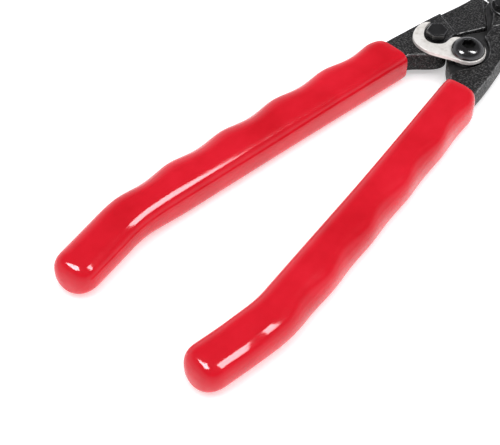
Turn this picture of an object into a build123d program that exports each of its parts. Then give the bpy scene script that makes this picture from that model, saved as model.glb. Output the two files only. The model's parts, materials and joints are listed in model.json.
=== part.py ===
from build123d import *
import math
import os

os.makedirs("parts", exist_ok=True)

# Grozing pliers, lying flat on one side with the handles closed and latched.
# Millimetres. +X points along the tool towards the jaws, +Z is the pivot direction,
# and z = 0 is the surface that the grips and the pivot flange rest on.
# The left lever has the handle at +Y and the jaw at -Y; the right lever is its opposite.

# ---------------------------------------------------------------- driving dimensions
arm_bottom = 2.2
arm_top = 8.8
arm_thickness = arm_top - arm_bottom
mid_height = (arm_bottom + arm_top) / 2
arm_edge_radius = 0.5
pocket_edge_radius = 0.5
shank_end_gap = 0.3

pivot = Vector(67.0, -2.0)
pivot_barrel_radius = 4.0
pivot_thread_radius = 3.0
pivot_flange_radius = 6.5
pivot_flange_thickness = 1.6
pivot_washer_radius = 5.8
pivot_washer_thickness = 0.9
pivot_head_flats = 10.0
pivot_head_height = 2.6
pivot_head_turn = 162.4
pivot_head_taper = 28.0
pivot_flange_chamfer = 0.4
pivot_washer_chamfer = 0.2
barrel_end_gap = 0.1
bolt_end_gap = 0.4
spanner_hole_offset = 4.9
spanner_hole_radius = 0.8
spanner_hole_depth = 1.0
running_clearance = 0.05

lap_gap = 0.1
lap_level = mid_height
shoulder_distance = 7.84
shoulder_angle = 129.7
shoulder_gap = 0.3
boss_radius = shoulder_distance - shoulder_gap
raised_pad_radius = 5.9

handle_rim = Vector(25.8, 13.0)
handle_bend = Vector(-78.0, 27.0)
handle_end = Vector(-98.6, 24.2)
bar_half_width = 4.6
bar_bend_radius = 45.0
bar_tip = Vector(-103.0, 23.7)
bar_start = -1.5
grip_half_width = 6.7
grip_end_half_width = 7.0
grip_thickness = 11.0
grip_edge_radius = 4.3
wave_pitch = 20.1
wave_height = 0.45
wave_cut_radius = (wave_pitch / 2) ** 2 / (4 * wave_height)
first_crest = 4.2
wave_count = 5

latch_screw_at = Vector(39.7, -5.1)
latch_stud_at = Vector(39.5, 6.7)
latch_bottom = 8.9
latch_thickness = 1.25
latch_end_radius = 5.6
latch_screw_radius = 3.0
latch_screw_head_radius = 5.25
latch_screw_head_height = 2.5
latch_screw_head_land = 0.5
latch_screw_head_flat = 2.8
latch_screw_dome_bulge = 0.42
hex_key_flats = 4.0
hex_key_depth = 2.0
latch_bush_radius = 4.0
pocket_depth = 1.8
pocket_floor = arm_top - pocket_depth
latch_washer_radius = 4.9
latch_flat_washer_thickness = 1.2
wave_washer_radius = 4.8
stud_shank_radius = 2.0
stud_neck_radius = 2.6
stud_flats = 6.0
stud_head_height = 1.8
stud_head_gap = 0.15
stud_chamfer = 0.3

panel_drop = 0.9

jaw_tip_x = 105.4
jaw_bottom = 1.2
jaw_top = 9.8
jaw_root_x = 74.0
jaw_full_width_x = 81.0
jaw_line_gap = 0.06
jaw_arch = 1.5
jaw_tip_land = 3.2
jaw_nose_bevel = 1.4
jaw_trim_half_span = 40.0
serration_pitch = 1.5
serration_depth = 0.4
serration_start_x = 80.5

spring_radius = 5.5
spring_wire = 0.9
spring_pitch = 0.96
spring_turns = 1.25
spring_recess_depth = 1.05
spring_recess_half_width = 0.8
spring_slot_width = 1.2
spring_slot_margin = 3.0
spring_slot_spare = 0.1
spring_leg_length = 1.3
spring_leg_radius = 0.44
handle_opening = 16.0


# ---------------------------------------------------------------- helpers
def level(height):
    """Horizontal sketch plane at a height."""
    return Plane((0, 0, height))


def at_pivot(height):
    """Horizontal sketch plane with its origin on the pivot axis."""
    return Plane((pivot.X, pivot.Y, height))


def polar(centre, radius, degrees):
    """Point at a radius and an angle about a centre."""
    turn = math.radians(degrees)
    return centre + Vector(radius * math.cos(turn), radius * math.sin(turn))


def flip(point, side):
    """Mirror a point to the other handle's side when side is -1."""
    return Vector(point.X, side * point.Y)


def outward(start, finish):
    """Unit vector to the outer side of a handle, square to a run of its centre line."""
    run = (finish - start).normalized()
    return Vector(run.Y, -run.X)


straight_out = outward(handle_rim, handle_bend)
end_out = outward(handle_bend, handle_end)
corner_out = (straight_out + end_out).normalized()


def beside_handle(station, offset):
    """Point beside the straight run of the handle, a distance from the rim of the grip."""
    run = (handle_bend - handle_rim).normalized()
    return handle_rim + run * station + straight_out * offset


def hexagon_radius(flats):
    """Corner radius of a hexagon from its width across flats."""
    return flats / math.sqrt(3)


# Corner of the meeting line of the two arms, where the shoulders of the lap joint start.
throat = pivot + Vector(-shoulder_distance / math.cos(math.radians(180 - shoulder_angle)), 0)
throat_gap = throat + Vector(0.47, 0)
right_throat = throat + Vector(-0.13, -0.4)
left_shoulder_end = Vector(68.8, 9.7)
right_shoulder_end = Vector(66.5, -11.8)

# Line where the two arms meet, from the closing stop to the throat.
meeting_line = [Vector(38.6, 1.7), Vector(45.4, 3.2), Vector(50.0, 1.1)]
meeting_gap = Vector(0, -0.28)


def handle_bar(side):
    """Steel bar inside a grip, from the arm to the rounded end of the handle."""
    with BuildPart() as bar:
        with BuildSketch(level(arm_bottom)):
            with BuildLine():
                outer_end = flip(handle_end + end_out * bar_half_width, side)
                inner_end = flip(handle_end - end_out * bar_half_width, side)
                tip = flip(bar_tip, side)
                outer_bend = flip(handle_bend + corner_out * bar_half_width, side)
                inner_bend = flip(handle_bend - corner_out * bar_half_width, side)
                outer_rim = flip(beside_handle(bar_start, bar_half_width), side)
                inner_rim = flip(beside_handle(bar_start, -bar_half_width), side)
                FilletPolyline(outer_rim, outer_bend, outer_end, radius=bar_bend_radius)
                ThreePointArc(outer_end, tip, inner_end)
                FilletPolyline(inner_end, inner_bend, inner_rim, radius=bar_bend_radius)
                Line(inner_rim, outer_rim)
            make_face()
        extrude(amount=arm_thickness)
    return bar.part


def grip_outline(side):
    """Plan outline of a grip before its finger waves are cut, with a rounded end."""
    crest_width = grip_half_width + wave_height
    rim_outer = flip(beside_handle(0, crest_width), side)
    rim_inner = flip(beside_handle(0, -grip_half_width), side)
    outer_bend = flip(handle_bend + corner_out * crest_width, side)
    inner_bend = flip(handle_bend - corner_out * grip_half_width, side)
    end_run = flip(handle_end - handle_bend, side).normalized()
    end_outer = flip(handle_end + end_out * grip_end_half_width, side)
    end_inner = flip(handle_end - end_out * grip_end_half_width, side)
    tip = flip(handle_end, side) + end_run * grip_end_half_width
    FilletPolyline(rim_outer, outer_bend, end_outer, radius=bar_bend_radius)
    ThreePointArc(end_outer, tip, end_inner)
    FilletPolyline(end_inner, inner_bend, rim_inner, radius=bar_bend_radius)
    Line(rim_inner, rim_outer)


def wave_cuts(side):
    """Centres of the large circles that cut the finger waves between the crests."""
    centres = []
    for wave in range(wave_count):
        station = first_crest + (wave + 0.5) * wave_pitch
        centres.append(flip(beside_handle(station, grip_half_width - wave_height + wave_cut_radius), side))
    return centres


def jaw_blank(side, outer_profile, flank_angle):
    """One jaw: its outer profile in plan, tapered in width towards the joint."""
    flank_inner = polar(pivot, boss_radius - 1.5, side * flank_angle)
    with BuildPart() as jaw:
        with BuildSketch(level(jaw_bottom)):
            with BuildLine():
                face_start = pivot + Vector(boss_radius - 1.5, side * jaw_line_gap / 2)
                face_end = Vector(jaw_tip_x, pivot.Y + side * jaw_line_gap / 2)
                Line(flank_inner, outer_profile[0])
                Spline(*outer_profile)
                Line(outer_profile[-1], face_end)
                Line(face_end, face_start)
                Line(face_start, flank_inner)
            make_face()
        extrude(amount=jaw_top - jaw_bottom)
        with BuildSketch(Plane.XZ.offset(-jaw_trim_half_span)):
            with BuildLine():
                Polyline(
                    (pivot.X, arm_bottom),
                    (jaw_root_x, arm_bottom),
                    (jaw_full_width_x, jaw_bottom),
                    (jaw_tip_x - 1, jaw_bottom),
                    (jaw_tip_x + 1, jaw_bottom + jaw_nose_bevel),
                    (jaw_tip_x + 1, jaw_top - jaw_nose_bevel),
                    (jaw_tip_x - 1, jaw_top),
                    (jaw_full_width_x, jaw_top),
                    (jaw_root_x, arm_top),
                    (pivot.X, arm_top),
                    close=True,
                )
            make_face()
        extrude(amount=2 * jaw_trim_half_span, mode=Mode.INTERSECT)
    return jaw.part


def shoulder_plate(first_corner, foot_angle, arm_end):
    """Corners of the half-thickness plate that joins an arm's shoulder to its boss."""
    return [first_corner, throat_gap, polar(pivot, boss_radius, foot_angle), pivot, arm_end]


left_bar = handle_bar(1)
right_bar = handle_bar(-1)

left_jaw_profile = [Vector(71.4, -12.8), Vector(80.0, -11.8), Vector(92.0, -8.6), Vector(105.4, -6.0)]
right_jaw_profile = [Vector(72.3, 9.3), Vector(80.0, 7.9), Vector(92.0, 4.6), Vector(105.4, 2.0)]
left_jaw = jaw_blank(-1, left_jaw_profile, 69.0)
right_jaw = jaw_blank(1, right_jaw_profile, 64.5)

serration_count = int((jaw_tip_x - serration_start_x) / serration_pitch)

# ---------------------------------------------------------------- left lever
with BuildPart() as left_lever:
    add(left_bar)
    with BuildSketch(level(arm_bottom)):
        with BuildLine():
            outer_rim = beside_handle(bar_start, bar_half_width)
            inner_rim = beside_handle(bar_start, -bar_half_width)
            Line(inner_rim, outer_rim)
            Spline(outer_rim, (40.0, 15.1), (48.7, 13.3), (60.7, 10.5), left_shoulder_end)
            Line(left_shoulder_end, throat)
            Spline(throat, *reversed(meeting_line))
            Spline(meeting_line[0], (35.6, 0.6), (32.4, 2.4), (28.5, 6.7), inner_rim)
        make_face()
    extrude(amount=arm_thickness)
    fillet(left_lever.faces().filter_by(Axis.Z).edges(), arm_edge_radius)
    add(left_jaw)
    with BuildSketch(at_pivot(lap_level - lap_gap / 2)):
        Circle(boss_radius + shoulder_gap)
    extrude(amount=jaw_top, mode=Mode.SUBTRACT)
    with BuildSketch(at_pivot(arm_bottom)):
        Circle(boss_radius)
    extrude(amount=lap_level - lap_gap / 2 - arm_bottom)
    with BuildSketch(level(arm_bottom)):
        Polygon(*shoulder_plate(throat, -shoulder_angle, left_shoulder_end), align=None)
    extrude(amount=lap_level - lap_gap / 2 - arm_bottom)
    # The forged panel between the latch flat and the shoulder is a step lower.
    with BuildSketch(level(arm_top - panel_drop)):
        with BuildLine():
            Polyline((50.3, 14.2), (44.6, 1.4), (44.6, -3.6), (72.0, -3.6), (72.0, 14.2), close=True)
        make_face()
    extrude(amount=panel_drop, mode=Mode.SUBTRACT)
    # Recess and slot for the opening spring.
    with BuildSketch(at_pivot(lap_level - lap_gap / 2)):
        Circle(spring_radius + spring_recess_half_width)
        Circle(spring_radius - spring_recess_half_width, mode=Mode.SUBTRACT)
    extrude(amount=-spring_recess_depth, mode=Mode.SUBTRACT)
    with BuildSketch(at_pivot(lap_level - lap_gap / 2)):
        with BuildLine() as slot_path:
            CenterArc((0, 0), spring_radius, 0, handle_opening + spring_slot_margin)
        SlotArc(slot_path.edge(), height=spring_slot_width)
    extrude(amount=-(spring_recess_depth + spring_leg_length + spring_slot_spare), mode=Mode.SUBTRACT)
    with BuildSketch(at_pivot(arm_bottom)):
        Circle(pivot_barrel_radius + running_clearance)
    extrude(amount=jaw_top, mode=Mode.SUBTRACT)
    with Locations((latch_stud_at.X, latch_stud_at.Y, arm_top)):
        Hole(stud_shank_radius)
    # Flat face of the lower jaw, with fine teeth across it.
    with BuildSketch(level(jaw_bottom)):
        for tooth in range(serration_count):
            with Locations((serration_start_x + (tooth + 0.5) * serration_pitch, pivot.Y)):
                Rectangle(serration_depth * 1.6, serration_depth * 1.6, rotation=45)
    extrude(amount=jaw_top - jaw_bottom, mode=Mode.SUBTRACT)
left_lever.part.label = "left_lever"
export_step(left_lever.part, "parts/left_lever.step")

# ---------------------------------------------------------------- right lever
with BuildPart() as right_lever:
    add(right_bar)
    with BuildSketch(level(arm_bottom)):
        with BuildLine():
            outer_rim = flip(beside_handle(bar_start, bar_half_width), -1)
            inner_rim = flip(beside_handle(bar_start, -bar_half_width), -1)
            Line(inner_rim, outer_rim)
            Spline(outer_rim, (35.4, -16.4), (43.2, -14.9), (55.0, -12.6), right_shoulder_end)
            Line(right_shoulder_end, right_throat)
            lower_line = [point + meeting_gap for point in meeting_line]
            Spline(right_throat, *reversed(lower_line))
            Spline(lower_line[0], (35.7, -0.5), (33.3, -2.1), (29.7, -5.6), inner_rim)
        make_face()
    extrude(amount=arm_thickness)
    fillet(right_lever.faces().filter_by(Axis.Z).edges(), arm_edge_radius)
    add(right_jaw)
    with BuildSketch(at_pivot(lap_level + lap_gap / 2)):
        Circle(boss_radius + shoulder_gap)
    extrude(amount=-jaw_top, mode=Mode.SUBTRACT)
    with BuildSketch(at_pivot(lap_level + lap_gap / 2)):
        Circle(boss_radius)
    extrude(amount=arm_top - lap_level - lap_gap / 2)
    with BuildSketch(level(lap_level + lap_gap / 2)):
        Polygon(*shoulder_plate(right_throat, shoulder_angle, right_shoulder_end), align=None)
    extrude(amount=arm_top - lap_level - lap_gap / 2)
    # Pocket for the latch, running on as a ledge round the raised pivot pad.
    with BuildSketch(level(pocket_floor)):
        with BuildLine():
            pad_start = polar(pivot, raised_pad_radius, 58)
            pad_middle = polar(pivot, raised_pad_radius, 105)
            pad_leave = polar(pivot, raised_pad_radius, 150)
            ThreePointArc(pad_start, pad_middle, pad_leave)
            Spline(pad_leave, (58.6, -1.5), (54.1, -3.7), (50.0, -4.5), tangents=[(-0.5, -0.87), (-1, -0.15)])
            Spline((50.0, -4.5), (45.9, -9.2), (40.8, -11.2), (35.6, -9.7), (31.6, -7.4), (24.0, -9.0))
            Polyline((24.0, -9.0), (24.0, 0.0), (45.0, 8.4), (64.0, 12.4), pad_start)
        make_face()
    extrude(amount=pocket_depth, mode=Mode.SUBTRACT)
    # The pocket's long edge, which curves round the latch screw, is rounded.
    top_edges = right_lever.edges().filter_by_position(Axis.Z, arm_top - 0.01, arm_top + 0.01)
    fillet(top_edges.sort_by_distance((40.8, -11.2, arm_top))[0], pocket_edge_radius)
    with BuildSketch(at_pivot(lap_level + lap_gap / 2)):
        Circle(spring_radius + spring_recess_half_width)
        Circle(spring_radius - spring_recess_half_width, mode=Mode.SUBTRACT)
    extrude(amount=spring_recess_depth, mode=Mode.SUBTRACT)
    with BuildSketch(at_pivot(lap_level)):
        with Locations(polar(Vector(0, 0), spring_radius, 360 * (spring_turns - 1))):
            Circle(spring_leg_radius)
    extrude(amount=spring_recess_depth + spring_leg_length, mode=Mode.SUBTRACT)
    with BuildSketch(at_pivot(arm_bottom)):
        Circle(pivot_barrel_radius)
    extrude(amount=jaw_top, mode=Mode.SUBTRACT)
    with Locations((latch_screw_at.X, latch_screw_at.Y, arm_top)):
        Hole(latch_screw_radius)
    # Upper jaw: hollow face that meets the lower jaw at the tip, with fine teeth.
    with BuildSketch(level(jaw_bottom)):
        with BuildLine():
            jaw_face_start = Vector(serration_start_x - 3, pivot.Y - 1)
            jaw_face_end = Vector(jaw_tip_x - jaw_tip_land, pivot.Y - 1)
            arch_top = (jaw_face_start + jaw_face_end) * 0.5 + Vector(0, jaw_arch + 1)
            ThreePointArc(jaw_face_start, arch_top, jaw_face_end)
            Line(jaw_face_end, jaw_face_start)
        make_face()
    extrude(amount=jaw_top - jaw_bottom, mode=Mode.SUBTRACT)
    with BuildSketch(level(jaw_bottom)):
        with BuildLine(mode=Mode.PRIVATE) as arch:
            ThreePointArc(jaw_face_start, arch_top, jaw_face_end)
        for tooth in range(2, serration_count - 2):
            with Locations(arch.edge() @ (tooth / serration_count)):
                Rectangle(serration_depth * 1.6, serration_depth * 1.6, rotation=45)
    extrude(amount=jaw_top - jaw_bottom, mode=Mode.SUBTRACT)
right_lever.part.label = "right_lever"
export_step(right_lever.part, "parts/right_lever.step")

# ---------------------------------------------------------------- grips
for side, name, bar in ((1, "left_grip", left_bar), (-1, "right_grip", right_bar)):
    with BuildPart() as grip:
        with BuildSketch(level(0)):
            with BuildLine():
                grip_outline(side)
            make_face()
        extrude(amount=grip_thickness)
        rounded = grip.faces().filter_by(Axis.Z).edges()
        rim_side = rounded.filter_by(GeomType.LINE).group_by(SortBy.LENGTH)[1]
        fillet([edge for edge in rounded if edge not in rim_side], grip_edge_radius)
        with BuildSketch(level(0)):
            with Locations(*wave_cuts(side)):
                Circle(wave_cut_radius)
        extrude(amount=grip_thickness, mode=Mode.SUBTRACT)
        add(bar, mode=Mode.SUBTRACT)
    grip.part.label = name
    export_step(grip.part, f"parts/{name}.step")

# ---------------------------------------------------------------- pivot
flange_top = pivot_flange_thickness
washer_top = arm_top + pivot_washer_thickness

with BuildPart() as pivot_sleeve:
    with BuildSketch(at_pivot(0)):
        Circle(pivot_flange_radius)
    extrude(amount=flange_top)
    chamfer(pivot_sleeve.edges().filter_by(GeomType.CIRCLE).sort_by(Axis.Z)[0], pivot_flange_chamfer)
    with BuildSketch(at_pivot(flange_top)):
        Circle(pivot_barrel_radius)
    extrude(amount=arm_top - flange_top - barrel_end_gap)
    with BuildSketch(at_pivot(flange_top)):
        Circle(pivot_thread_radius)
    extrude(amount=arm_top, mode=Mode.SUBTRACT)
    # Two holes for a pin spanner.
    with BuildSketch(at_pivot(0)):
        with PolarLocations(spanner_hole_offset, 2):
            Circle(spanner_hole_radius)
    extrude(amount=spanner_hole_depth, mode=Mode.SUBTRACT)
pivot_sleeve.part.label = "pivot_sleeve_nut"
export_step(pivot_sleeve.part, "parts/pivot_sleeve_nut.step")

with BuildPart() as pivot_bottom_washer:
    with BuildSketch(at_pivot(flange_top)):
        Circle(pivot_washer_radius)
        Circle(pivot_barrel_radius, mode=Mode.SUBTRACT)
    extrude(amount=arm_bottom - flange_top - running_clearance)
pivot_bottom_washer.part.label = "pivot_bottom_washer"
export_step(pivot_bottom_washer.part, "parts/pivot_bottom_washer.step")

with BuildPart() as pivot_top_washer:
    with BuildSketch(at_pivot(arm_top)):
        Circle(pivot_washer_radius)
        Circle(pivot_thread_radius, mode=Mode.SUBTRACT)
    extrude(amount=pivot_washer_thickness)
    top_circles = pivot_top_washer.edges().filter_by(GeomType.CIRCLE).group_by(Axis.Z)[-1]
    chamfer(top_circles.sort_by(SortBy.LENGTH)[-1], pivot_washer_chamfer)
pivot_top_washer.part.label = "pivot_top_washer"
export_step(pivot_top_washer.part, "parts/pivot_top_washer.step")

with BuildPart() as pivot_bolt:
    with BuildSketch(at_pivot(washer_top)):
        RegularPolygon(hexagon_radius(pivot_head_flats), 6, rotation=pivot_head_turn)
    extrude(amount=pivot_head_height)
    # The corners of the head are turned off to a cone on top.
    with BuildSketch(at_pivot(washer_top)):
        Circle(hexagon_radius(pivot_head_flats) * 1.2)
    extrude(amount=pivot_head_height, taper=pivot_head_taper, mode=Mode.INTERSECT)
    with BuildSketch(at_pivot(washer_top)):
        Circle(pivot_thread_radius)
    extrude(amount=-(washer_top - flange_top - bolt_end_gap))
pivot_bolt.part.label = "pivot_bolt"
export_step(pivot_bolt.part, "parts/pivot_bolt.step")

# ---------------------------------------------------------------- opening spring
spring_rise = spring_pitch * spring_turns
spring_start = lap_level - spring_rise / 2
with BuildPart() as opening_spring:
    with BuildLine(at_pivot(spring_start)) as spring_path:
        Helix(pitch=spring_pitch, height=spring_rise, radius=spring_radius)
    coil = spring_path.edge()
    with BuildSketch(Plane(coil @ 0, z_dir=coil % 0)):
        Circle(spring_wire / 2)
    sweep(path=coil, is_frenet=True)
    with BuildSketch(Plane(coil @ 0)):
        Circle(spring_leg_radius)
    extrude(amount=-(spring_leg_length + spring_wire / 2))
    with BuildSketch(Plane(coil @ 1)):
        Circle(spring_leg_radius)
    extrude(amount=spring_leg_length + spring_wire / 2)
opening_spring.part.label = "opening_spring"
export_step(opening_spring.part, "parts/opening_spring.step")

# ---------------------------------------------------------------- latch
latch_top = latch_bottom + latch_thickness
bush_top = latch_top + running_clearance


def at_screw(height):
    """Horizontal sketch plane with its origin on the latch screw's axis."""
    return Plane((latch_screw_at.X, latch_screw_at.Y, height))


def at_stud(height):
    """Horizontal sketch plane with its origin on the latch stud's axis."""
    return Plane((latch_stud_at.X, latch_stud_at.Y, height))


with BuildPart() as latch_hook:
    with BuildSketch(level(latch_bottom)):
        with BuildLine():
            tip_point = (42.9, 11.7)
            lip_point = (43.2, 0.2)
            end_right = polar(latch_screw_at, latch_end_radius, 12)
            end_bottom = polar(latch_screw_at, latch_end_radius, -75)
            end_left = polar(latch_screw_at, latch_end_radius, 190)
            back = [end_left, (31.1, 5.0), (32.6, 10.7), (39.6, 13.6), tip_point]
            throat_curve = [tip_point, (39.4, 11.2), (35.0, 6.6), (37.8, 2.4), lip_point]
            Spline(*back, tangents=[(-0.2, 1), (0.6, -0.9)])
            Spline(*throat_curve, tangents=[(-1, 0.2), (0.5, -1)])
            Spline(lip_point, end_right, tangents=[(0.5, -1), (0.2, -1)])
            ThreePointArc(end_right, end_bottom, end_left)
        make_face()
        with Locations(latch_screw_at):
            Circle(latch_bush_radius + running_clearance, mode=Mode.SUBTRACT)
    extrude(amount=latch_thickness)
latch_hook.part.label = "latch_hook"
export_step(latch_hook.part, "parts/latch_hook.step")

with BuildPart() as latch_bush:
    with BuildSketch(at_screw(pocket_floor)):
        Circle(latch_bush_radius)
        Circle(latch_screw_radius, mode=Mode.SUBTRACT)
    extrude(amount=bush_top - pocket_floor)
latch_bush.part.label = "latch_bush"
export_step(latch_bush.part, "parts/latch_bush.step")

with BuildPart() as latch_flat_washer:
    with BuildSketch(at_screw(pocket_floor)):
        Circle(latch_washer_radius)
        Circle(latch_bush_radius, mode=Mode.SUBTRACT)
    extrude(amount=latch_flat_washer_thickness)
latch_flat_washer.part.label = "latch_flat_washer"
export_step(latch_flat_washer.part, "parts/latch_flat_washer.step")

# The wave washer is drawn at its pressed height, as a plain ring between the flat washer and the latch.
flat_washer_top = pocket_floor + latch_flat_washer_thickness
with BuildPart() as latch_wave_washer:
    with BuildSketch(at_screw(flat_washer_top)):
        Circle(wave_washer_radius)
        Circle(latch_bush_radius, mode=Mode.SUBTRACT)
    extrude(amount=latch_bottom - flat_washer_top - running_clearance)
latch_wave_washer.part.label = "latch_wave_washer"
export_step(latch_wave_washer.part, "parts/latch_wave_washer.step")

with BuildPart() as latch_screw:
    # Low domed head: a short land at the edge, then a round dome up to the flat round the socket.
    head_top = bush_top + latch_screw_head_height
    with BuildSketch(Plane.XZ.offset(-latch_screw_at.Y)):
        with BuildLine():
            axis_x = latch_screw_at.X
            edge_x = axis_x + latch_screw_head_radius
            flat_x = axis_x + latch_screw_head_flat
            Line((axis_x, bush_top), (edge_x, bush_top))
            land_top = bush_top + latch_screw_head_land
            Line((edge_x, bush_top), (edge_x, land_top))
            SagittaArc((edge_x, land_top), (flat_x, head_top), -latch_screw_dome_bulge)
            Line((flat_x, head_top), (axis_x, head_top))
            Line((axis_x, head_top), (axis_x, bush_top))
        make_face()
    revolve(axis=Axis((axis_x, latch_screw_at.Y, 0), (0, 0, 1)))
    with BuildSketch(at_screw(bush_top)):
        Circle(latch_screw_radius)
    extrude(amount=-(bush_top - arm_bottom - shank_end_gap))
    with BuildSketch(at_screw(head_top)):
        RegularPolygon(hexagon_radius(hex_key_flats), 6, rotation=15)
    extrude(amount=-hex_key_depth, mode=Mode.SUBTRACT)
latch_screw.part.label = "latch_screw"
export_step(latch_screw.part, "parts/latch_screw.step")

stud_head_bottom = latch_top + stud_head_gap
with BuildPart() as latch_stud:
    with BuildSketch(at_stud(arm_bottom + shank_end_gap)):
        Circle(stud_shank_radius)
    extrude(amount=arm_thickness - shank_end_gap)
    with BuildSketch(at_stud(arm_top)):
        Circle(stud_neck_radius)
    extrude(amount=stud_head_bottom - arm_top)
    with BuildSketch(at_stud(stud_head_bottom)):
        RegularPolygon(hexagon_radius(stud_flats), 6, rotation=12)
    extrude(amount=stud_head_height)
    chamfer(latch_stud.faces().sort_by(Axis.Z)[-1].edges(), stud_chamfer)
latch_stud.part.label = "latch_stud"
export_step(latch_stud.part, "parts/latch_stud.step")
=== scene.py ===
import json
import math

import bmesh
import bpy
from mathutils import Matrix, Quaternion, Vector


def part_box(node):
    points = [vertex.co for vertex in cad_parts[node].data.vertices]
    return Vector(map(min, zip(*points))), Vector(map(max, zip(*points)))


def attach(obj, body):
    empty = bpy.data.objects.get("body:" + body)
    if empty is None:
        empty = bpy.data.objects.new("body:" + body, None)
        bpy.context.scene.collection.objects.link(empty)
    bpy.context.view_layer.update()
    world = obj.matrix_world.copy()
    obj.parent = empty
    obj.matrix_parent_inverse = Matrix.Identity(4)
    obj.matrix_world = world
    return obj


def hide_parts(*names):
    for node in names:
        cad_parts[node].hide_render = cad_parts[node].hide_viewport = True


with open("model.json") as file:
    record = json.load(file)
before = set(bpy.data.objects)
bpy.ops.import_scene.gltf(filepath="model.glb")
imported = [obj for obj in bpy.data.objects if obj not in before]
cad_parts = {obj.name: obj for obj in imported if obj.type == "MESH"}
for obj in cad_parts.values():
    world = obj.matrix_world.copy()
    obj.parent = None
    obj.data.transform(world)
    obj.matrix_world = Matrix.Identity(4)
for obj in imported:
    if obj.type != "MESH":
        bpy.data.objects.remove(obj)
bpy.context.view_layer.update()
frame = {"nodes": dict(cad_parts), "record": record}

# Grozing pliers, closed and latched. Everything is in metres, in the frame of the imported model:
# +X towards the jaws, +Y towards the left handle, z = 0 on the surface that the tool lies on.
MM = 0.001


# ---------------------------------------------------------------- materials
class Nodes:
    """A material's node tree, with short calls for the nodes used here."""

    def __init__(self, name):
        self.material = bpy.data.materials.new(name)
        self.material.use_nodes = True
        self.tree = self.material.node_tree
        self.shader = self.tree.nodes["Principled BSDF"]
        self.place = self.add("ShaderNodeTexCoord").outputs["Object"]

    def add(self, kind, **values):
        node = self.tree.nodes.new(kind)
        for key, value in values.items():
            setattr(node, key, value)
        return node

    def link(self, source, target):
        self.tree.links.new(source, target)

    def set(self, **values):
        for key, value in values.items():
            self.shader.inputs[key.replace("_", " ")].default_value = value

    def stretched(self, scale):
        """The object's coordinates, scaled along each axis."""
        mapping = self.add("ShaderNodeMapping")
        mapping.inputs["Scale"].default_value = scale
        self.link(self.place, mapping.inputs["Vector"])
        return mapping.outputs["Vector"]

    def noise(self, size, detail=3.0, rough=0.55, vector=None):
        """Noise with features of about this size, in metres."""
        node = self.add("ShaderNodeTexNoise")
        node.inputs["Scale"].default_value = 1 / size
        node.inputs["Detail"].default_value = detail
        node.inputs["Roughness"].default_value = rough
        self.link(vector or self.place, node.inputs["Vector"])
        return node.outputs["Fac"]

    def ramp(self, source, stops):
        """Colour ramp through (position, colour) stops."""
        node = self.add("ShaderNodeValToRGB")
        elements = node.color_ramp.elements
        while len(elements) < len(stops):
            elements.new(0.5)
        for element, (position, colour) in zip(elements, stops):
            element.position = position
            element.color = (*colour, 1) if len(colour) == 3 else colour
        self.link(source, node.inputs["Fac"])
        return node.outputs["Color"]

    def spread(self, source, low, high, start=0.3, finish=0.7):
        """A value between low and high, from a 0 to 1 source."""
        node = self.add("ShaderNodeMapRange")
        node.inputs["From Min"].default_value = start
        node.inputs["From Max"].default_value = finish
        node.inputs["To Min"].default_value = low
        node.inputs["To Max"].default_value = high
        self.link(source, node.inputs["Value"])
        return node.outputs["Result"]

    def bump(self, source, depth, strength=1.0, below=None):
        """Bump of this depth in metres, over an earlier bump if there is one."""
        node = self.add("ShaderNodeBump")
        node.inputs["Strength"].default_value = strength
        node.inputs["Distance"].default_value = depth
        self.link(source, node.inputs["Height"])
        if below is not None:
            self.link(below, node.inputs["Normal"])
        return node.outputs["Normal"]


def grey(value, warmth=0.0):
    return (value * (1 + warmth), value, value * (1 - warmth))


def forged_steel():
    """Black oxide over forged steel: dark and satin, with a coarse cast grain and faint blotches."""
    n = Nodes("forged_black_steel")
    n.set(Metallic=0.1, Specular_IOR_Level=0.26)
    grain = n.noise(0.5 * MM, 2, 0.6)
    speck = n.ramp(grain, [(0.42, grey(0.001)), (0.52, grey(0.006)), (0.64, grey(0.075, 0.02))])
    blotch = n.ramp(n.noise(5 * MM, 4), [(0.3, grey(0.6)), (0.7, grey(1.2))])
    mix = n.add("ShaderNodeMix", data_type="RGBA", blend_type="MULTIPLY")
    mix.inputs["Factor"].default_value = 1.0
    n.link(speck, mix.inputs[6])
    n.link(blotch, mix.inputs[7])
    n.link(mix.outputs[2], n.shader.inputs["Base Color"])
    n.link(n.spread(grain, 0.56, 0.28), n.shader.inputs["Roughness"])
    rough = n.bump(n.noise(1.7 * MM, 2), 0.14 * MM, 0.6)
    coarse = n.bump(grain, 0.26 * MM, 1.0, rough)
    n.link(n.bump(n.noise(0.18 * MM, 2), 0.02 * MM, 0.5, coarse), n.shader.inputs["Normal"])
    return n.material


def rubbed_edge_and_glint():
    """The rounded edges of the forging, where the black is rubbed thin: lighter and more metallic than the faces,
    partly real wear and partly a painted glint.
    """
    n = Nodes("rubbed_steel_edge_and_glint")
    n.set(Metallic=0.8)
    rub_and_glint = n.noise(1.1 * MM, 4, 0.6)
    n.link(n.ramp(rub_and_glint, [(0.34, grey(0.03)), (0.52, grey(0.12)), (0.70, grey(0.30, 0.02))]),
           n.shader.inputs["Base Color"])
    n.link(n.spread(rub_and_glint, 0.48, 0.26), n.shader.inputs["Roughness"])
    n.link(n.bump(n.noise(0.35 * MM, 3), 0.03 * MM, 0.7), n.shader.inputs["Normal"])
    return n.material


def machined_steel():
    """Faces of the forging milled flat before blackening: smoother and greyer, with faint cutter lines."""
    n = Nodes("milled_black_steel")
    n.set(Metallic=0.4, Specular_IOR_Level=0.3)
    lines = n.noise(0.35 * MM, 2, 0.5, n.stretched((1.0, 0.12, 1.0)))
    cloud = n.noise(3 * MM, 3)
    n.link(n.ramp(cloud, [(0.3, grey(0.022)), (0.7, grey(0.045))]), n.shader.inputs["Base Color"])
    n.link(n.spread(lines, 0.34, 0.48), n.shader.inputs["Roughness"])
    n.link(n.bump(lines, 0.012 * MM, 0.6), n.shader.inputs["Normal"])
    return n.material


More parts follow.
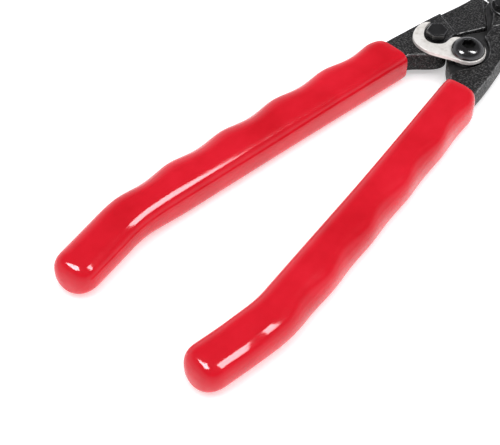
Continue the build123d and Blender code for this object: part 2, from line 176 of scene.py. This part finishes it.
def dipped_vinyl():
    """Glossy red dipped vinyl, with a faint orange peel and slight thickness variation."""
    n = Nodes("dipped_red_vinyl")
    n.set(Specular_IOR_Level=0.40, Coat_Weight=0.06, Coat_Roughness=0.04, Specular_Tint=(1, 0.84, 0.9, 1))
    depth = n.noise(14 * MM, 3)
    n.link(n.ramp(depth, [(0.25, (0.56, 0.006, 0.014)), (0.5, (0.64, 0.009, 0.020)), (0.8, (0.72, 0.013, 0.028))]),
           n.shader.inputs["Base Color"])
    n.link(n.spread(n.noise(5 * MM, 3), 0.06, 0.12), n.shader.inputs["Roughness"])
    swell = n.bump(n.noise(9 * MM, 1.5, 0.4), 0.16 * MM, 0.12)
    n.link(n.bump(n.noise(1.3 * MM, 1), 0.006 * MM, 0.25, swell), n.shader.inputs["Normal"])
    return n.material


def satin_plate():
    """Zinc-plated latch steel: pale, warm and satin, with fine rolling lines and a few scuffs."""
    n = Nodes("satin_latch_steel")
    n.set(Metallic=0.35, Specular_IOR_Level=0.6)
    lines = n.noise(0.5 * MM, 3, 0.6, n.stretched((0.12, 1.0, 1.0)))
    cloud = n.noise(2.2 * MM, 4, 0.6)
    n.link(n.ramp(cloud, [(0.3, (0.68, 0.65, 0.60)), (0.5, (0.85, 0.82, 0.775)), (0.75, (0.93, 0.91, 0.875))]),
           n.shader.inputs["Base Color"])
    n.link(n.spread(lines, 0.34, 0.50), n.shader.inputs["Roughness"])
    n.link(n.bump(lines, 0.008 * MM, 0.5, n.bump(n.noise(0.3 * MM, 2), 0.006 * MM, 0.5)),
           n.shader.inputs["Normal"])
    return n.material


def oxide_fastener():
    """Black oxide on turned and headed screws: smoother than the forging, gunmetal."""
    n = Nodes("black_oxide_fastener")
    n.set(Metallic=0.85)
    cloud = n.noise(2.2 * MM, 3)
    n.link(n.ramp(cloud, [(0.3, grey(0.065)), (0.55, grey(0.09)), (0.8, grey(0.12, 0.01))]),
           n.shader.inputs["Base Color"])
    fine = n.noise(0.6 * MM, 3)
    n.link(n.spread(fine, 0.10, 0.20), n.shader.inputs["Roughness"])
    n.link(n.bump(fine, 0.004 * MM, 0.4), n.shader.inputs["Normal"])
    return n.material


def painted_socket_shade():
    """Inside of the hex socket: painted shade, dull near black with a faint mottle."""
    n = Nodes("painted_socket_shade")
    n.set(Metallic=0.2, Specular_IOR_Level=0.3)
    shade_mottle = n.noise(0.5 * MM, 3)
    n.link(n.ramp(shade_mottle, [(0.3, grey(0.002)), (0.7, grey(0.008))]), n.shader.inputs["Base Color"])
    n.link(n.spread(shade_mottle, 0.25, 0.5), n.shader.inputs["Roughness"])
    return n.material


def spring_wire():
    """Oiled spring steel, drawn bright."""
    n = Nodes("oiled_spring_steel")
    n.set(Metallic=1.0)
    cloud = n.noise(1.5 * MM, 3)
    n.link(n.ramp(cloud, [(0.3, grey(0.34)), (0.7, grey(0.50, 0.01))]), n.shader.inputs["Base Color"])
    n.link(n.spread(cloud, 0.24, 0.36), n.shader.inputs["Roughness"])
    n.link(n.bump(n.noise(0.2 * MM, 2), 0.004 * MM, 0.4), n.shader.inputs["Normal"])
    return n.material


MATERIALS = {
    "forged_steel": forged_steel(),
    "grip_vinyl": dipped_vinyl(),
    "latch_steel": satin_plate(),
    "black_fastener": oxide_fastener(),
    "spring_steel": spring_wire(),
}
RUBBED_EDGE_AND_GLINT = rubbed_edge_and_glint()
MACHINED = machined_steel()
# The inside of the hex socket is painted near black as shade.
SOCKET_SHADE = painted_socket_shade()
SOCKET_SHADE_REACH = 2.4 * MM
SLOT_OF = {part["node"]: part["material_slot"] for part in frame["record"]["subparts"]}
BODY_OF = {node: body for body, nodes in frame["record"]["behaviour"]["bodies"].items() for node in nodes}


# ---------------------------------------------------------------- making pieces
def piece_for(node, mesh, name):
    """Puts a mesh in the scene in a CAD node's place, with its material, slot and body."""
    obj = bpy.data.objects.new(name, mesh)
    bpy.context.scene.collection.objects.link(obj)
    mesh.materials.clear()
    mesh.materials.append(MATERIALS[SLOT_OF[node]])
    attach(obj, BODY_OF[node])
    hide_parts(node)
    return obj


def finished(node, name, edge=0.12, crease=32):
    """A CAD node's shape with its flat faces joined up and its sharp edges rounded, in mm."""
    mesh = frame["nodes"][node].data.copy()
    work = bmesh.new()
    work.from_mesh(mesh)
    bmesh.ops.remove_doubles(work, verts=work.verts, dist=0.002 * MM)
    bmesh.ops.dissolve_limit(work, angle_limit=math.radians(0.6), verts=work.verts, edges=work.edges)
    work.to_mesh(mesh)
    work.free()
    if mesh.has_custom_normals:
        mesh.attributes.remove(mesh.attributes["custom_normal"])
    mesh.polygons.foreach_set("use_smooth", [True] * len(mesh.polygons))
    obj = piece_for(node, mesh, name)
    bevel = obj.modifiers.new("edges", "BEVEL")
    bevel.width = edge * MM
    bevel.segments = 3
    bevel.limit_method = "ANGLE"
    bevel.angle_limit = math.radians(crease)
    bevel.harden_normals = True
    bevel.miter_outer = "MITER_ARC"
    return obj


EDGE_WIDTH = 0.35
TEETH_START = 76 * MM
TEETH_BAND = 2.2 * MM
JAW_LINE = -2.0 * MM
EDGE_STEP = 0.8 * MM
SHARP = math.radians(32)
CORNER = math.radians(25)


def sharp_edges(work):
    """Edges of a mesh that a forging's rounding belongs on."""
    return [edge for edge in work.edges if len(edge.link_faces) == 2 and edge.calc_face_angle_signed() > SHARP]


def on_teeth(edge):
    """Whether an edge belongs to the fine teeth of a jaw, which stay crisp."""
    middle = (edge.verts[0].co + edge.verts[1].co) / 2
    return middle.x > TEETH_START and abs(middle.y - JAW_LINE) < TEETH_BAND


def room_for_bevel(edge, sharp):
    """How wide an edge can be rounded before it runs into the other edges that meet it."""
    room = 1.0
    for vert in edge.verts:
        run = (edge.other_vert(vert).co - vert.co).normalized()
        for other in vert.link_edges:
            if other is edge:
                continue
            angle = run.angle(other.other_vert(vert).co - vert.co)
            if other in sharp and angle > math.pi - CORNER:
                continue
            room = min(room, 0.45 * other.calc_length() * math.sin(angle))
    return room


def forging(node, name, milled=None):
    """A lever: rounded edges, rubbed and lightened with a painted glint, and milled faces where milled says so of a
    point and a normal.
    """
    obj = finished(node, name, EDGE_WIDTH)
    mesh = obj.data
    mesh.materials.append(RUBBED_EDGE_AND_GLINT)
    mesh.materials.append(MACHINED)
    work = bmesh.new()
    work.from_mesh(mesh)
    for edge in sharp_edges(work):
        cuts = int(edge.calc_length() / EDGE_STEP)
        if cuts:
            bmesh.ops.subdivide_edges(work, edges=[edge], cuts=cuts, use_grid_fill=False)
    weight = work.edges.layers.float.new("bevel_weight_edge")
    sharp = set(sharp_edges(work))
    for edge in sharp:
        roomy = room_for_bevel(edge, sharp) > EDGE_WIDTH * MM
        edge[weight] = 1.0 if roomy and not on_teeth(edge) else 0.0
    work.to_mesh(mesh)
    work.free()
    bevel = obj.modifiers["edges"]
    bevel.limit_method = "WEIGHT"
    bevel.use_clamp_overlap = False
    # Bevels and sloped faces get the rubbed edge material, partly real wear and partly a painted glint; milled faces
    # get the milled material.
    bevel.material = 1
    for face in obj.data.polygons:
        if milled and milled(face.center, face.normal):
            face.material_index = 2
        elif 0.15 < face.normal.z < 0.97:
            face.material_index = 1
    return obj


# ---------------------------------------------------------------- grips
GRIP_LOW, GRIP_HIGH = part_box("left_grip")
RIM = Vector((GRIP_HIGH.x - 0.92 * MM, 13.0 * MM))
BEND = Vector((RIM.x - 103.8 * MM, 27.0 * MM))
END = Vector((GRIP_LOW.x + 7.0 * MM, 24.2 * MM))
BEND_RADIUS = 45 * MM
HALF_WIDTH = 6.9 * MM
END_HALF_WIDTH = 7.0 * MM
MID_HEIGHT = (GRIP_HIGH.z + GRIP_LOW.z) / 2
SECTION_POWER = 2.8
RIM_POWER = 4.2
BOXY_RUN = 62 * MM
FOOT_POWER = 0.2
TAIL_FOOT = 0.6
RIM_FOOT_SHARE = 0.4
TOP_DIP = 0.3
MOUTH_ROLL = 0.45 * MM
ROLL_STEPS = 7
LEFT_FIT = (0.4 * MM, 0.35 * MM, 1.4 * MM, 1.8 * MM, 0.9 * MM, 21 * MM)
RIGHT_FIT = (1.1 * MM, 0.0 * MM, 0.3 * MM, 2.7 * MM, 0.9 * MM, 11 * MM)
DOME_STEPS = 28
DOME_POWER = 2.5
DOME_REACH = 6.5 * MM
DOME_TOP_POWER = 2.7
DOME_FOOT = 2.8 * MM
DOME_FOOT_POWER = 3.2
WAVE_PITCH = 20.15 * MM
FIRST_TROUGH = 13.9 * MM
WAVE_DEPTH = 1.0 * MM
LOW_WAVE_SHARE = 0.32
RIM_TAPER = 0.15 * MM
RIM_TAPER_RUN = 2.5 * MM
CORNER_RUN = 7 * MM
MOUTH_SLANT = 0.45 * MM
SLANT_RUN = 9 * MM
BAR_HALF_WIDTH = 4.6 * MM
BAR_HALF_HEIGHT = 3.3 * MM
RING_POINTS = 96
STATIONS = 300


def handle_path():
    """Length of the centre line, and a function giving its point and outer side at a distance."""
    first = (BEND - RIM).normalized()
    second = (END - BEND).normalized()
    turn = math.acos(max(-1, min(1, first.dot(second))))
    setback = BEND_RADIUS * math.tan(turn / 2)
    straight = (BEND - RIM).length - setback
    arc = BEND_RADIUS * turn
    tail = (END - BEND).length - setback
    total = straight + arc + tail
    side = Vector((first.y, -first.x))
    centre = RIM + first * straight - side * BEND_RADIUS

    def at(distance):
        if distance <= straight:
            return RIM + first * distance, side
        if distance <= straight + arc:
            angle = (distance - straight) / BEND_RADIUS
            out = Vector((side.x * math.cos(angle) - side.y * math.sin(angle),
                          side.x * math.sin(angle) + side.y * math.cos(angle)))
            return centre + out * BEND_RADIUS, out
        out = Vector((second.y, -second.x))
        return END + second * (distance - total), out

    return total, at


def smooth(t):
    t = max(0.0, min(1.0, t))
    return t * t * (3 - 2 * t)


def wave(distance):
    """0 on the crests of the finger waves and 1 in their troughs."""
    phase = (distance - FIRST_TROUGH) / WAVE_PITCH
    if phase < -0.5 or phase > 4.5:
        return 0.0
    return (0.5 + 0.5 * math.cos(2 * math.pi * phase)) ** 0.9


def ring(place, out, inner, outer, top, dip, power, foot, slant):
    """One cross-section of a grip: a soft rectangle, pressed in on its outer side by dip.

    inner and outer are its half widths towards and away from the other handle, top its height.
    power and foot are how square its upper and lower halves are, and slant leans it back at the outer side."""
    half_height = (top - GRIP_LOW.z) / 2
    middle = (top + GRIP_LOW.z) / 2
    run = Vector((-out.y, out.x))
    points = []
    for k in range(RING_POINTS):
        angle = 2 * math.pi * k / RING_POINTS
        across, up = math.cos(angle), math.sin(angle)
        bow = power if up > 0 else foot
        u = math.copysign(abs(across) ** (2 / bow), across)
        v = math.copysign(abs(up) ** (2 / bow), up)
        facing = smooth((across + 0.15) / 1.0)
        share = LOW_WAVE_SHARE + (1 - LOW_WAVE_SHARE) * smooth((up + 0.25) / 0.9)
        offset = u * (outer if u > 0 else inner) - dip * facing * share
        spot = place + out * offset + run * (slant * (u + 1.2))
        points.append((spot.x, spot.y, middle + v * half_height - dip * TOP_DIP * facing * share * max(0, v)))
    return points


def grip(side, node, name, fit):
    """A dipped sleeve: tight mouth, finger waves on the outer side, bend, waist and domed end."""
    total, at = handle_path()
    rings = []
    # The mouth, from inside the sleeve out round its thin rolled edge.
    for along in (3 * MM, MOUTH_ROLL):
        rings.append(bar_ring(*at(along)))
    for step in range(ROLL_STEPS):
        angle = math.pi / 2 * step / ROLL_STEPS
        inset = MOUTH_ROLL * (1 - math.sin(angle))
        place, out = at(MOUTH_ROLL * (1 - math.cos(angle)) * 0.8)
        rings.append(section(place, out, 0.0, total, inset, fit))
    for step in range(STATIONS):
        distance = MOUTH_ROLL + (total - MOUTH_ROLL) * step / (STATIONS - 1)
        place, out = at(distance)
        rings.append(section(place, out, distance, total, 0, fit))
    last, out = at(total)
    run = Vector((-out.y, out.x))
    for step in range(1, DOME_STEPS):
        angle = math.pi / 2 * step / DOME_STEPS
        reach = math.sin(angle) ** (2 / DOME_POWER)
        shrink = math.cos(angle) ** (2 / DOME_POWER)
        place = last + run * DOME_REACH * reach
        rings.append(dome_ring(place, out, shrink, math.cos(angle), fit[-2]))
    tip = last + run * DOME_REACH
    verts = [(x, side * y, z) for points in rings for x, y, z in points]
    verts.append((tip.x, side * tip.y, DOME_FOOT))
    faces = []
    for row in range(len(rings) - 1):
        for k in range(RING_POINTS):
            a = row * RING_POINTS + k
            b = row * RING_POINTS + (k + 1) % RING_POINTS
            quad = (a, b, b + RING_POINTS, a + RING_POINTS)
            faces.append(quad if side < 0 else tuple(reversed(quad)))
    base = (len(rings) - 1) * RING_POINTS
    for k in range(RING_POINTS):
        triangle = (base + k, base + (k + 1) % RING_POINTS, len(verts) - 1)
        faces.append(triangle if side < 0 else tuple(reversed(triangle)))
    mesh = bpy.data.meshes.new(name)
    mesh.from_pydata(verts, [], faces)
    mesh.polygons.foreach_set("use_smooth", [True] * len(mesh.polygons))
    return piece_for(node, mesh, name)


def bar_ring(place, out):
    """Cross-section of the sleeve's bore, just clear of the steel bar."""
    points = []
    for k in range(RING_POINTS):
        angle = 2 * math.pi * k / RING_POINTS
        u = math.copysign(abs(math.cos(angle)) ** (2 / 9), math.cos(angle))
        v = math.copysign(abs(math.sin(angle)) ** (2 / 9), math.sin(angle))
        spot = place + out * (u * (BAR_HALF_WIDTH + 0.1 * MM))
        points.append((spot.x, spot.y, MID_HEIGHT + v * (BAR_HALF_HEIGHT + 0.1 * MM)))
    return points


def section(place, out, distance, total, inset, fit):
    """Cross-section of the sleeve at a distance from its mouth.

    fit says how this sleeve differs from an even one: slimmer on its inner side, wider on its outer side at
    the mouth and half way along, drawn in at the outside of the mouth, and lower at the end of its top,
    over the last part of its length."""
    rim = 1 - smooth(distance / RIM_TAPER_RUN)
    boxy = SECTION_POWER + (RIM_POWER - SECTION_POWER) * (1 - smooth(distance / BOXY_RUN))
    widen = (END_HALF_WIDTH - HALF_WIDTH) * smooth((distance - total + 26 * MM) / (20 * MM))
    slim, rim_swell, middle_swell, rim_taper, drop, tail_run = fit
    near_bend = smooth((distance - 70 * MM) / (55 * MM))
    from_rim = smooth(distance / (45 * MM))
    swell = (rim_swell + (middle_swell - rim_swell) * from_rim) * (1 - near_bend)
    inner = HALF_WIDTH + widen - slim * (1 - smooth((distance - 20 * MM) / (95 * MM))) - 0.6 * RIM_TAPER * rim - inset
    from_corner = max(0.0, 1 - distance / CORNER_RUN)
    outer = HALF_WIDTH + widen + swell - rim_taper * (1 - math.sqrt(1 - from_corner ** 2)) - inset
    slant = MOUTH_SLANT * (1 - smooth(distance / SLANT_RUN))
    tail = smooth((distance - total + 1.6 * tail_run) / tail_run)
    top = GRIP_HIGH.z - RIM_TAPER * rim - inset - drop * tail
    past_bend = smooth((distance - total + 40 * MM) / (20 * MM))
    foot = SECTION_POWER + FOOT_POWER * (1 - past_bend) + RIM_FOOT_SHARE * (boxy - SECTION_POWER) - TAIL_FOOT * past_bend
    return ring(place, out, inner, outer, top, WAVE_DEPTH * wave(distance), boxy, foot, slant)


def dome_ring(place, out, shrink, cosine, drop):
    """Cross-section of the rounded end, which closes on a point nearer its foot than its top."""
    points = []
    top = GRIP_HIGH.z - drop
    high = (top - DOME_FOOT) * cosine ** (2 / DOME_TOP_POWER)
    low = DOME_FOOT * cosine ** (2 / DOME_FOOT_POWER)
    ceiling, base = DOME_FOOT + high, DOME_FOOT - low
    for k in range(RING_POINTS):
        angle = 2 * math.pi * k / RING_POINTS
        across, up = math.cos(angle), math.sin(angle)
        bow = SECTION_POWER if up > 0 else SECTION_POWER - TAIL_FOOT
        u = math.copysign(abs(across) ** (2 / bow), across)
        v = math.copysign(abs(up) ** (2 / bow), up)
        spot = place + out * (u * END_HALF_WIDTH * shrink)
        points.append((spot.x, spot.y, (ceiling + base) / 2 + v * (ceiling - base) / 2))
    return points


left_grip = grip(1, "left_grip", "left_grip_sleeve", LEFT_FIT)
right_grip = grip(-1, "right_grip", "right_grip_sleeve", RIGHT_FIT)

# ---------------------------------------------------------------- steel parts
WASHER_LOW, WASHER_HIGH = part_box("pivot_top_washer")


def in_pocket(place, normal):
    """The floor of the latch pocket and its ledge."""
    return normal.z > 0.99 and WASHER_LOW.z - 2.2 * MM < place.z < WASHER_LOW.z - 0.5 * MM


forging("left_lever", "left_lever_forging")
forging("right_lever", "right_lever_forging", in_pocket)
finished("latch_hook", "latch_hook_plate", 0.14)
screw = finished("latch_screw", "latch_button_screw", 0.10)
screw.data.materials.append(SOCKET_SHADE)
SCREW_LOW, SCREW_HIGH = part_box("latch_screw")
SCREW_AXIS = (SCREW_LOW + SCREW_HIGH) / 2
# Faces down inside the hex socket get the painted shade, near black.
for face in screw.data.polygons:
    reach = (face.center - SCREW_AXIS).to_2d().length
    if reach < SOCKET_SHADE_REACH and face.center.z < SCREW_HIGH.z - 0.05 * MM:
        face.material_index = 1
finished("latch_stud", "latch_hex_stud", 0.08)
finished("latch_bush", "latch_spacer_bush", 0.10)
finished("latch_flat_washer", "latch_washer_flat", 0.08)
finished("pivot_bolt", "pivot_hex_bolt", 0.12)
finished("pivot_top_washer", "pivot_washer_top", 0.08)
finished("pivot_bottom_washer", "pivot_washer_bottom", 0.08)
finished("pivot_sleeve_nut", "pivot_flange_nut", 0.12)


def wave_washer():
    """Spring washer under the latch: a thin ring with three waves."""
    low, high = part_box("latch_wave_washer")
    centre = (low + high) / 2
    outer = (high.x - low.x) / 2
    inner = outer - 1.05 * MM
    thick = 0.25 * MM
    swing = (high.z - low.z - thick) / 2
    steps = 120
    verts, faces = [], []
    for k in range(steps):
        angle = 2 * math.pi * k / steps
        z = centre.z + swing * math.sin(3 * angle)
        for radius, rise in ((inner, -1), (outer, -1), (outer, 1), (inner, 1)):
            verts.append((centre.x + radius * math.cos(angle), centre.y + radius * math.sin(angle), z + rise * thick / 2))
    for k in range(steps):
        a, b = 4 * k, 4 * ((k + 1) % steps)
        for corner in range(4):
            other = (corner + 1) % 4
            faces.append((a + corner, b + corner, b + other, a + other))
    mesh = bpy.data.meshes.new("latch_washer_wave")
    mesh.from_pydata(verts, [], faces)
    obj = piece_for("latch_wave_washer", mesh, "latch_washer_wave")
    bevel = obj.modifiers.new("edges", "BEVEL")
    bevel.width = 0.05 * MM
    bevel.segments = 2
    return obj


wave_washer()
spring = frame["nodes"]["opening_spring"]
spring.data.materials.clear()
spring.data.materials.append(MATERIALS["spring_steel"])

# ---------------------------------------------------------------- floor, light and camera
floor_mesh = bpy.data.meshes.new("floor")
floor_mesh.from_pydata([(-3, -3, 0), (3, -3, 0), (3, 3, 0), (-3, 3, 0)], [], [(0, 1, 2, 3)])
floor = bpy.data.objects.new("floor", floor_mesh)
bpy.context.scene.collection.objects.link(floor)
paper = Nodes("white_paper")
paper.set(Base_Color=(0.9, 0.9, 0.9, 1), Roughness=0.9, Specular_IOR_Level=0.1)
paper.set(Emission_Color=(1, 1, 1, 1), Emission_Strength=0.42)
floor_mesh.materials.append(paper.material)
floor.location.z = -0.02 * MM

TARGET = Vector((-52.2, 3.83, 0)) * MM
AZIMUTH = math.radians(-48.3)
ELEVATION = math.radians(48.4)
DISTANCE = 382.5 * MM


def direction(azimuth, elevation):
    """Unit vector from the object towards a light or camera. Azimuth 0 is along -Y."""
    return Vector((math.sin(azimuth) * math.cos(elevation), -math.cos(azimuth) * math.cos(elevation), math.sin(elevation)))


camera_data = bpy.data.cameras.new("camera")
camera_data.lens = 96.4
camera_data.sensor_width = 36
camera_data.clip_start = 0.01
camera = bpy.data.objects.new("camera", camera_data)
bpy.context.scene.collection.objects.link(camera)
back = direction(AZIMUTH, ELEVATION)
camera.location = TARGET + back * DISTANCE
camera.rotation_mode = "QUATERNION"
camera.rotation_quaternion = (-back).to_track_quat("-Z", "Y")
bpy.context.scene.camera = camera


def softbox(name, azimuth, elevation, width, height, radiance, seen, roll=0):
    """Rectangular light facing the handles. Directions and angular sizes are in degrees.

    seen is "glossy" for a window that only shows as a reflection, or "diffuse" for plain light."""
    distance = 1.5
    data = bpy.data.lights.new(name, "AREA")
    data.shape = "RECTANGLE"
    data.size = 2 * distance * math.tan(math.radians(width / 2))
    data.size_y = 2 * distance * math.tan(math.radians(height / 2))
    data.energy = radiance * math.pi * data.size * data.size_y
    light = bpy.data.objects.new(name, data)
    bpy.context.scene.collection.objects.link(light)
    towards = direction(math.radians(azimuth), math.radians(elevation))
    light.location = TARGET + towards * distance
    light.rotation_mode = "QUATERNION"
    light.rotation_quaternion = (-towards).to_track_quat("-Z", "Y") @ Quaternion((0, 0, 1), math.radians(roll))
    light.visible_glossy = seen == "glossy"
    light.visible_diffuse = seen == "diffuse"
    return light


softbox("window_front", 48, 66, 13, 28, 19, "glossy", -45)
softbox("window_back", -132, 60, 19, 19, 26, "glossy")
softbox("soft_front", 45, 58, 50, 50, 1.9, "diffuse")
softbox("soft_back", -132, 60, 50, 50, 1.9, "diffuse")
softbox("soft_top", 90, 88, 60, 60, 0.8, "diffuse")

# The studio round the table: a white sweep low down and a dark room overhead.
world = bpy.data.worlds.new("studio")
world.use_nodes = True
tree = world.node_tree
ground = tree.nodes["Background"]
facing = tree.nodes.new("ShaderNodeTexCoord")
parts = tree.nodes.new("ShaderNodeSeparateXYZ")
sweep = tree.nodes.new("ShaderNodeValToRGB")
sweep.color_ramp.elements[0].position = 0.30
sweep.color_ramp.elements[0].color = (0.95, 0.95, 1.0, 1)
sweep.color_ramp.elements[1].position = 0.62
sweep.color_ramp.elements[1].color = (0.10, 0.10, 0.11, 1)
tree.links.new(facing.outputs["Generated"], parts.inputs["Vector"])
tree.links.new(parts.outputs["Z"], sweep.inputs["Fac"])
tree.links.new(sweep.outputs["Color"], ground.inputs["Color"])
bpy.context.scene.world = world
bpy.context.scene.view_settings.view_transform = "Standard"
